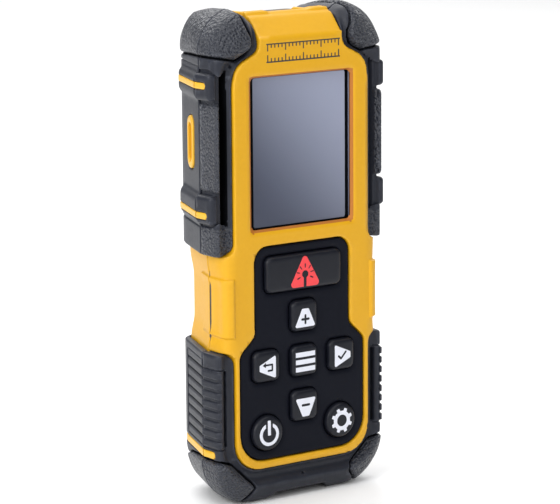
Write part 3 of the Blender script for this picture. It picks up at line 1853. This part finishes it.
@dataclass
class Keypad:
    """The keypad frame, its eight keys and their printed signs."""

    narrow: float = 16.0
    wide: float = 21.1
    low: float = 12.4
    high: float = 72.6
    sunk: float = 0.4
    crest: float = -0.93

    def edge(self, x: Array, z: Array) -> Array:
        """The keypad's outline: narrow above, flaring in a soft shoulder.

        Args:
            x: Places across.
            z: Heights.

        Returns:
            The distance, negative inside.
        """
        right = foot_corner(self.wide, self.low, 7)
        for i in range(11):
            flare = (1 + math.cos(math.pi * i / 10)) / 2
            right.append((self.narrow + (self.wide - self.narrow) * flare, 42.0 + 0.7 * i))
        right += [
            (self.narrow - 4 + 4 * math.cos(a), self.high - 4 + 4 * math.sin(a))
            for a in (i * math.pi / 12 for i in range(7))
        ]
        return outline(np.abs(x), z, [(-8.0, self.low), *right, (-8.0, self.high)])

    def key(self, mark: Mark) -> tuple[float, float, float, float, float]:
        """A key's middle, half sizes and corner radius.

        Args:
            mark: The key.

        Returns:
            Its middle across and up, half width, half height and radius.
        """
        low, high = span(mark.value)
        half, tall = (high[0] - low[0]) / 2 - 0.7, (high[2] - low[2]) / 2 - 0.7
        radius = half if mark in (Mark.POWER, Mark.SETTINGS) else 1.9
        return *centre((low, high), 0, 2), half, tall, radius

    def rim(self, mark: Mark, x: Array, z: Array) -> Array:
        """A key's outline.

        Args:
            mark: The key.
            x: Places across.
            z: Heights.

        Returns:
            The distance, negative inside.
        """
        at_x, at_z, half, tall, radius = self.key(mark)
        return panel(x, z, half, at_z - tall, at_z + tall, radius, middle=at_x)

    def top(self, mark: Mark, x: Array, z: Array) -> Array:
        """The depth of a key's crowned top.

        Args:
            mark: The key.
            x: Places across.
            z: Heights.

        Returns:
            The depths.
        """
        at_x, at_z, half, tall, _ = self.key(mark)
        share = ((x - at_x) / half) ** 2 * 0.1 + ((z - at_z) / tall) ** 2 * 0.12
        return self.crest + share

    def key_form(self, mark: Mark, x: Array, d: Array, z: Array) -> Array:
        """A key: crowned head with soft edges, flange and stem.

        Args:
            mark: The key.
            x: Places across.
            d: Depths.
            z: Heights.

        Returns:
            The form.
        """
        rim = self.rim(mark, x, z)
        at_x, at_z = self.key(mark)[:2]
        flare = 0.1 * np.clip((d + 0.4) / 0.9, 0, 1)
        head = soft_max(rim - flare + 0.08, self.top(mark, x, z) - d, 1.15)
        head = np.maximum(head, d - 2.5)
        flange = np.maximum(rim - 0.68, slab(d, 1.9, 2.5))
        stem = np.maximum(disc(x, z, at_x, at_z, 1.5), slab(d, 2.4, 4.0))
        return np.minimum(np.minimum(head, flange), stem)

    def frame_form(self, x: Array, d: Array, z: Array) -> Array:
        """The keypad frame with its key holes.

        Args:
            x: Places across.
            d: Depths.
            z: Heights.

        Returns:
            The form.
        """
        edge = self.edge(x, z)
        rims = union(self.rim(mark, x, z) for mark in Mark)
        moat = 0.28 * np.exp(-np.square(np.maximum(rims - 0.25, 0.0) / 0.7))
        form = soft_max(edge, (self.sunk + moat - d) * 0.9, 0.6)
        form = np.maximum(form, d - 4.4)
        form = np.minimum(form, np.maximum(edge - 1.2, slab(d, 3.62, 4.4)))
        form = np.maximum(form, -np.maximum(edge + 0.85, 1.6 - d))
        return carve(form, np.maximum(rims - 0.22, d - 2.0), 0.3)

    def build(self) -> None:
        """Sculpt and dress the frame, keys and signs."""
        low, high = span("keypad_frame")
        frame_piece = sculpt("keypad_plate", low, high, 0.25, self.frame_form, 0.05)
        paint(frame_piece, Palette.get(SILICONE))
        settle(frame_piece, ROOT, "key_rubber", "keypad_frame")
        dress("dome_sheet", FILM)
        for mark in Mark:
            low, high = span(mark.value)
            word = mark.value.removesuffix("_key")
            key = sculpt(
                f"{word}_button", low, high, 0.16,
                lambda x, d, z, mark=mark: self.key_form(mark, x, d, z), 0.03,
            )
            paint(key, Palette.get(KEY))
            settle(key, mark.value, "key_rubber", mark.value)
            at_x, at_z = self.key(mark)[:2]
            reach = 5.4 if mark is Mark.MEASURE else 4.2
            ink = INK_RED if mark is Mark.MEASURE else INK_WHITE
            print_piece = sculpt(
                f"{word}_sign", (at_x - reach, self.crest - 0.1, at_z - reach),
                (at_x + reach, self.crest + 0.35, at_z + reach), 0.07,
                lambda x, d, z, mark=mark, at_x=at_x, at_z=at_z: np.maximum(
                    sign(mark, x - at_x, z - at_z), np.abs(d - self.top(mark, x, z) - 0.02) - 0.085
                ), 0.1,
            )
            paint(print_piece, Palette.get(ink))
            settle(print_piece, mark.value, "key_rubber")
        self._rays()
        self._teeth()

    def _rays(self) -> None:
        """Set the ray burst round the dot on the measuring key."""
        at_x, at_z = self.key(Mark.MEASURE)[:2]
        ray = sculpt(
            "ray", (1.7, self.crest - 0.08, -0.3), (3.3, self.crest + 0.1, 0.3), 0.05,
            lambda x, d, z: np.maximum(
                stroke(x, z, [(1.95, 0.0), (2.8, 0.0)], 0.21), np.abs(d - self.crest) - 0.065
            ),
        )
        burst = repeat(
            ray, RING.tree, "measure_rays", Count=7, First_angle=math.radians(25),
            Step_angle=math.radians(-230 / 6), Centre=(at_x * MM, 0.0, (at_z - 0.75) * MM),
            Material=Palette.get(KEY),
        )
        settle(burst, Mark.MEASURE.value, "key_rubber")

    def _teeth(self) -> None:
        """Set the teeth round the gear sign."""
        at_x, at_z = self.key(Mark.SETTINGS)[:2]
        tooth = sculpt(
            "tooth", (2.4, self.crest - 0.08, -1.0), (3.8, self.crest + 0.2, 1.0), 0.06,
            lambda x, d, z: np.maximum(
                np.maximum(slab(x, 2.5, 3.6), np.abs(z) - 0.62 + (x - 2.5) * 0.15),
                np.abs(d - self.crest - 0.1 * (x / 5.0) ** 2) - 0.068,
            ),
        )
        teeth = repeat(
            tooth, RING.tree, "settings_teeth", Count=8, First_angle=math.radians(22.5),
            Step_angle=math.radians(45),
            Centre=(at_x * MM, 0.0, at_z * MM), Material=Palette.get(INK_WHITE),
        )
        settle(teeth, Mark.SETTINGS.value, "key_rubber")


KEYPAD = Keypad()
ROW = Row()
RING = Ring()


@dataclass
class Screen:
    """The screen stack, and the plain scale printed above it."""

    low: float = 123.35
    high: float = 128.65
    left: float = -11.9
    right: float = 12.9

    def build(self) -> None:
        """Dress the stack and print the scale."""
        dress("screen_window", WINDOW, 0.1)
        dress("window_gasket", RUBBER)
        dress("display_panel", DISPLAY)
        low, high = span("screen_window")
        half, bottom, top, front = high[0] - 3.2, low[2] + 2.85, high[2] - 2.3, low[1]
        border = sculpt(
            "window_border", (-half - 1, front - 0.2, bottom - 1), (half + 1, front + 0.2, top + 1),
            0.12,
            lambda x, d, z: np.maximum(
                np.maximum(
                    panel(x, z, half + 0.6, bottom - 0.6, top + 0.6, 1.0),
                    -panel(x, z, half - 0.65, bottom + 0.1, top - 0.1, 0.6)
                ),
                slab(d, front - 0.07, front + 0.06),
            ), 0.1,
        )
        paint(border, Palette.get(RECESS))
        settle(border, ROOT, "black_rubber")
        rules = sculpt(
            "scale_rules", (self.left, -0.05, self.low), (self.right, 0.1, self.high), 0.07,
            lambda x, d, z: np.maximum(
                np.maximum(
                    np.minimum(np.abs(z - self.low - 0.2), np.abs(z - self.high + 0.2)) - 0.22,
                    slab(x, self.left, self.right),
                ),
                slab(d, -0.04, 0.06),
            ), 0.1,
        )
        paint(rules, Palette.get(INK_DARK))
        settle(rules, ROOT, "yellow_plastic")
        for name, base, turn in (("upper", self.high - 0.3, -1.0), ("lower", self.low + 0.3, 1.0)):
            tick = sculpt(
                "tick", (-0.25, -0.05, -1.2), (0.25, 0.08, 1.2), 0.06,
                lambda x, d, z, turn=turn: np.maximum(
                    panel(x, z * turn, 0.2, -0.1, 1.0, 0.1), slab(d, -0.04, 0.06)
                ),
            )
            ticks = repeat(
                tick, ROW.tree, f"scale_ticks_{name}", Count=21, Pitch=(1.19 * MM, 0.0, 0.0),
                Long_every=5, Long_factor=1.9,
                Start=((self.left + 0.5) * MM, 0.0, base * MM),
                Material=Palette.get(INK_DARK),
            )
            settle(ticks, ROOT, "yellow_plastic")


@dataclass
class Battery:
    """The battery door with its latch, and the bay behind it."""

    door: Box = span("battery_door")
    latch: Box = span("door_latch")

    def door_form(self, x: Array, d: Array, z: Array) -> Array:
        """The door, with a shallow field and a notch for the latch.

        Args:
            x: Places across.
            d: Depths.
            z: Heights.

        Returns:
            The form.
        """
        low, high = self.door
        half = high[0]
        face = panel(x, z, half, low[2], high[2], 2.5)
        form = soft_max(face, d - high[1], 0.9)
        form = np.maximum(form, high[1] - 2.0 - d)
        hinge = np.hypot(d - high[1] + 0.9, z - low[2] - 0.6)
        form = soft_max(form, np.where(z < low[2] + 0.6, hinge - 0.9, -9.0), 0.05)
        field = panel(x, z, half - 2.6, low[2] + 3.2, high[2] - 9.2, 2.0)
        form = carve(form, np.maximum(field, high[1] - 0.45 - d), 0.5)
        near, far = self.latch
        notch = panel(x, z, far[0] + 0.3, near[2] - 1.6, high[2] + 5.0, 0.9)
        return carve(form, notch, 0.3)

    def latch_form(self, x: Array, d: Array, z: Array) -> Array:
        """The latch's thumb plate with a finger hollow.

        Args:
            x: Places across.
            d: Depths.
            z: Heights.

        Returns:
            The form.
        """
        low, high = self.latch
        face = panel(x, z, high[0], low[2], high[2], 0.8)
        form = soft_max(face, d - high[1], 0.5)
        form = np.maximum(form, low[1] - d)
        (middle,) = centre(self.latch, 2)
        reach = np.square(x / 1.6) + np.square(z - middle + 0.3) + np.square(
            (d - high[1] - 1.6) * 1.1
        )
        return carve(form, np.sqrt(reach) - 2.2, 0.3)

    def build(self) -> None:
        """Sculpt and dress the door, its ridges, the latch and the bay."""
        plastic = Palette.get(DOOR_PLASTIC)
        low, high = self.door
        door = sculpt("battery_cover", low, high, 0.25, self.door_form, 0.08)
        paint(door, plastic)
        settle(door, "battery_door", "door_plastic", "battery_door")
        ridge = sculpt(
            "ridge", (-10.5, high[1] - 0.6, low[2] + 6.0), (10.5, high[1], low[2] + 8.0), 0.14,
            lambda x, d, z: soft_max(
                panel(x, z, 10.2, low[2] + 6.2, low[2] + 7.8, 0.75),
                slab(d, high[1] - 0.55, high[1] - 0.05), 0.4
            ),
        )
        ridges = repeat(
            ridge, ROW.tree, "battery_cover_ridges", Count=9, Pitch=(0.0, 0.0, 3.9 * MM),
            Material=plastic
        )
        settle(ridges, "battery_door", "door_plastic")
        near, far = self.latch
        latch = sculpt("cover_latch", near, far, 0.14, self.latch_form, 0.05)
        paint(latch, plastic)
        settle(latch, "door_latch", "door_plastic", "door_latch")
        dress("battery_tray", DARK_PLASTIC, 0.3)
        for word in ("left", "right"):
            dress(f"cell_{word}", SLEEVE, 0.35)
            dress(f"spring_{word}", STEEL)
            dress(f"contact_{word}", STEEL, 0.1)


@dataclass
class Optics:
    """The optics bezel in the top end, the receiving lens and the laser's parts."""

    bezel: Box = span("optics_bezel")
    lens: Box = span("receiver_lens")
    glass: Box = span("laser_window")
    dome: float = 24.0

    def bezel_form(self, x: Array, d: Array, z: Array) -> Array:
        """The bezel with flared holes for the lens and the laser.

        Args:
            x: Places across.
            d: Depths.
            z: Heights.

        Returns:
            The form.
        """
        low, high = self.bezel
        form = soft_max(panel(x, d, high[0], low[1], high[1], 1.4), z - high[2], 0.6)
        form = np.maximum(form, low[2] - z)
        for part, flare in ((self.lens, 0.5), (self.glass, 0.8)):
            at_x, at_d = centre(part, 0, 1)
            radius = (part[1][0] - part[0][0]) / 2
            cone = radius - 0.35 + flare * np.clip((z - part[1][2] - 0.2) / 1.2, 0, 1)
            seat = disc(x, d, at_x, at_d, 0.0) - np.where(z < part[1][2] + 0.2, radius + 0.25, cone)
            form = carve(form, seat, 0.25)
        return form

    def lens_form(self, x: Array, d: Array, z: Array) -> Array:
        """The receiving lens, domed outwards.

        Args:
            x: Places across.
            d: Depths.
            z: Heights.

        Returns:
            The form.
        """
        low, high = self.lens
        at_x, at_d = centre(self.lens, 0, 1)
        flat = disc(x, d, at_x, at_d, (high[0] - low[0]) / 2)
        reach = np.square(x - at_x) + np.square(d - at_d) + np.square(z - high[2] + self.dome)
        return soft_max(np.maximum(flat, low[2] - z), np.sqrt(reach) - self.dome, 0.2)

    def build(self) -> None:
        """Sculpt and dress the optics."""
        bezel = sculpt("optics_frame", *self.bezel, 0.2, self.bezel_form, 0.05)
        paint(bezel, Palette.get(DARK_PLASTIC))
        settle(bezel, ROOT, "dark_plastic", "optics_bezel")
        lens = sculpt("receiving_lens", *self.lens, 0.15, self.lens_form, 0.05)
        paint(lens, Palette.get(LENS))
        settle(lens, ROOT, "coated_lens", "receiver_lens")
        dress("laser_window", LENS, 0.15)
        for name in ("receiver_cone", "detector"):
            dress(name, DARK_PLASTIC)
        dress("laser_barrel", BRASS, 0.2)
        dress("laser_diode", STEEL, 0.1)


@dataclass
class BackFittings:
    """The tripod thread and the blank label on the back, and the boards inside."""

    insert: Box = span("tripod_insert")
    label: Box = span("rating_label")
    pitch: float = 1.27

    def insert_form(self, x: Array, d: Array, z: Array) -> Array:
        """The threaded insert, with a helical groove.

        Args:
            x: Places across.
            d: Depths.
            z: Heights.

        Returns:
            The form.
        """
        low, high = self.insert
        (middle,) = centre(self.insert, 2)
        radius = np.hypot(x, z - middle)
        turn = np.arctan2(z - middle, x) / (2 * math.pi)
        phase = np.mod(d / self.pitch - turn, 1.0)
        thread = 3.0 + 0.5 * np.abs(phase - 0.5)
        chamfer = np.maximum(d - high[1] + 0.7, 0.0)
        wall = soft_max(radius - high[0], slab(d, low[1], high[1]), 0.3)
        return np.maximum(wall, (thread + chamfer - radius) * 0.8)

    def build(self) -> None:
        """Sculpt and dress the fittings."""
        insert = sculpt("tripod_thread", *self.insert, 0.14, self.insert_form, 0.02)
        paint(insert, Palette.get(BRASS))
        settle(insert, ROOT, "brass", "tripod_insert")
        low, high = self.label
        plate = sculpt(
            "blank_label", low, high, 0.1,
            lambda x, d, z: soft_max(
                panel(x, z, high[0], low[2], high[2], 1.2), slab(d, low[1], high[1]), 0.12
            ),
            0.1,
        )
        paint(plate, Palette.get(LABEL))
        settle(plate, ROOT, "label_film", "rating_label")
        line = sculpt(
            "rule", (low[0] + 2, high[1] - 0.12, high[2] - 6.2),
            (high[0] - 2, high[1], high[2] - 5.8), 0.06,
            lambda x, d, z: np.maximum(
                panel(x, z, high[0] - 2.2, high[2] - 6.12, high[2] - 5.88, 0.1),
                slab(d, high[1] - 0.1, high[1])
            ), 0.1,
        )
        lines = repeat(
            line, ROW.tree, "blank_label_rules", Count=5, Pitch=(0.0, 0.0, -2.6 * MM),
            Material=Palette.get(INK_DARK)
        )
        settle(lines, ROOT, "label_film")
        dress("main_board", BOARD)
        dress("buzzer", DARK_PLASTIC, 0.2)


@dataclass
class Studio:
    """The pale floor, the soft lights and the camera."""

    location: Point = (-0.42821, -0.61366, 0.21064)
    forward: Point = (0.5640, 0.8042, -0.1876)
    roll: float = math.radians(-0.432)
    lens: float = 174.0
    reach: float = 6.0
    ambient: float = 0.17
    softboxes: tuple[tuple[str, Point, float, float], ...] = (
        ("left key", (-1.15, -0.3, 0.7), 0.8, 13.0),
        ("front fill", (-0.3, -1.5, 0.9), 0.9, 7.8),
        ("right rim", (1.1, 0.35, 0.7), 0.5, 3.0),
        ("top", (0.0, 0.1, 1.5), 1.8, 21.0),
        ("far floor", (0.5, 1.7, 1.5), 1.6, 24.0),
    )

    def build(self) -> None:
        """Set the floor, lights and camera."""
        self._floor()
        self._world()
        for softbox in self.softboxes:
            self._softbox(*softbox)
        self._camera()

    def _floor(self) -> None:
        """Lay the floor."""
        mesh = bpy.data.meshes.new("floor")
        signs = ((-1, -1), (1, -1), (1, 1), (-1, 1))
        corners = [(self.reach * a, self.reach * b, 0.0) for a, b in signs]
        mesh.from_pydata(corners, [], [(0, 1, 2, 3)])
        floor = bpy.data.objects.new("floor", mesh)
        bpy.context.scene.collection.objects.link(floor)
        mesh.materials.append(Palette.get(FLOOR))

    def _world(self) -> None:
        """Fill the surroundings with pale light."""
        world = bpy.data.worlds.new("studio")
        bpy.context.scene.world = world
        world.use_nodes = True
        back = world.node_tree.nodes["Background"]
        back.inputs["Color"].default_value = (0.97, 0.98, 1.0, 1.0)
        back.inputs["Strength"].default_value = self.ambient
        bpy.context.scene.view_settings.view_transform = "Standard"

    def _softbox(self, name: str, place: Point, size: float, power: float) -> None:
        """Hang a square soft light that faces the meter.

        Args:
            name: The light's name.
            place: Where it hangs, in metres.
            size: Its side, in metres.
            power: Its power, in watts.
        """
        light = bpy.data.lights.new(name, "AREA")
        light.size, light.energy = size, power
        lamp = bpy.data.objects.new(name, light)
        lamp.location = place
        aim = Vector((0.0, 0.0, 0.07)) - Vector(place)
        lamp.rotation_euler = aim.to_track_quat("-Z", "Y").to_euler()
        bpy.context.scene.collection.objects.link(lamp)

    def _camera(self) -> None:
        """Set the camera."""
        data = bpy.data.cameras.new("camera")
        data.lens, data.sensor_width, data.sensor_fit = self.lens, 36.0, "HORIZONTAL"
        data.clip_start, data.clip_end = 0.01, 50.0
        camera = bpy.data.objects.new("camera", data)
        turn = Vector(self.forward).normalized().to_track_quat("-Z", "Y")
        camera.rotation_mode = "QUATERNION"
        camera.rotation_quaternion = turn @ Quaternion((0.0, 0.0, 1.0), self.roll)
        camera.location = self.location
        bpy.context.scene.collection.objects.link(camera)
        bpy.context.scene.camera = camera


def main() -> None:
    """Build the meter's looks piece by piece, then the studio."""
    logging.basicConfig(level=logging.INFO, format="%(message)s")
    parts = (
        Shells(BODY), Guards(BODY), KEYPAD, Screen(), Battery(), Optics(), BackFittings(), Studio(),
    )
    for part in parts:
        log.info("building %s", type(part).__name__)
        part.build()


if __name__ == "__main__":
    main()
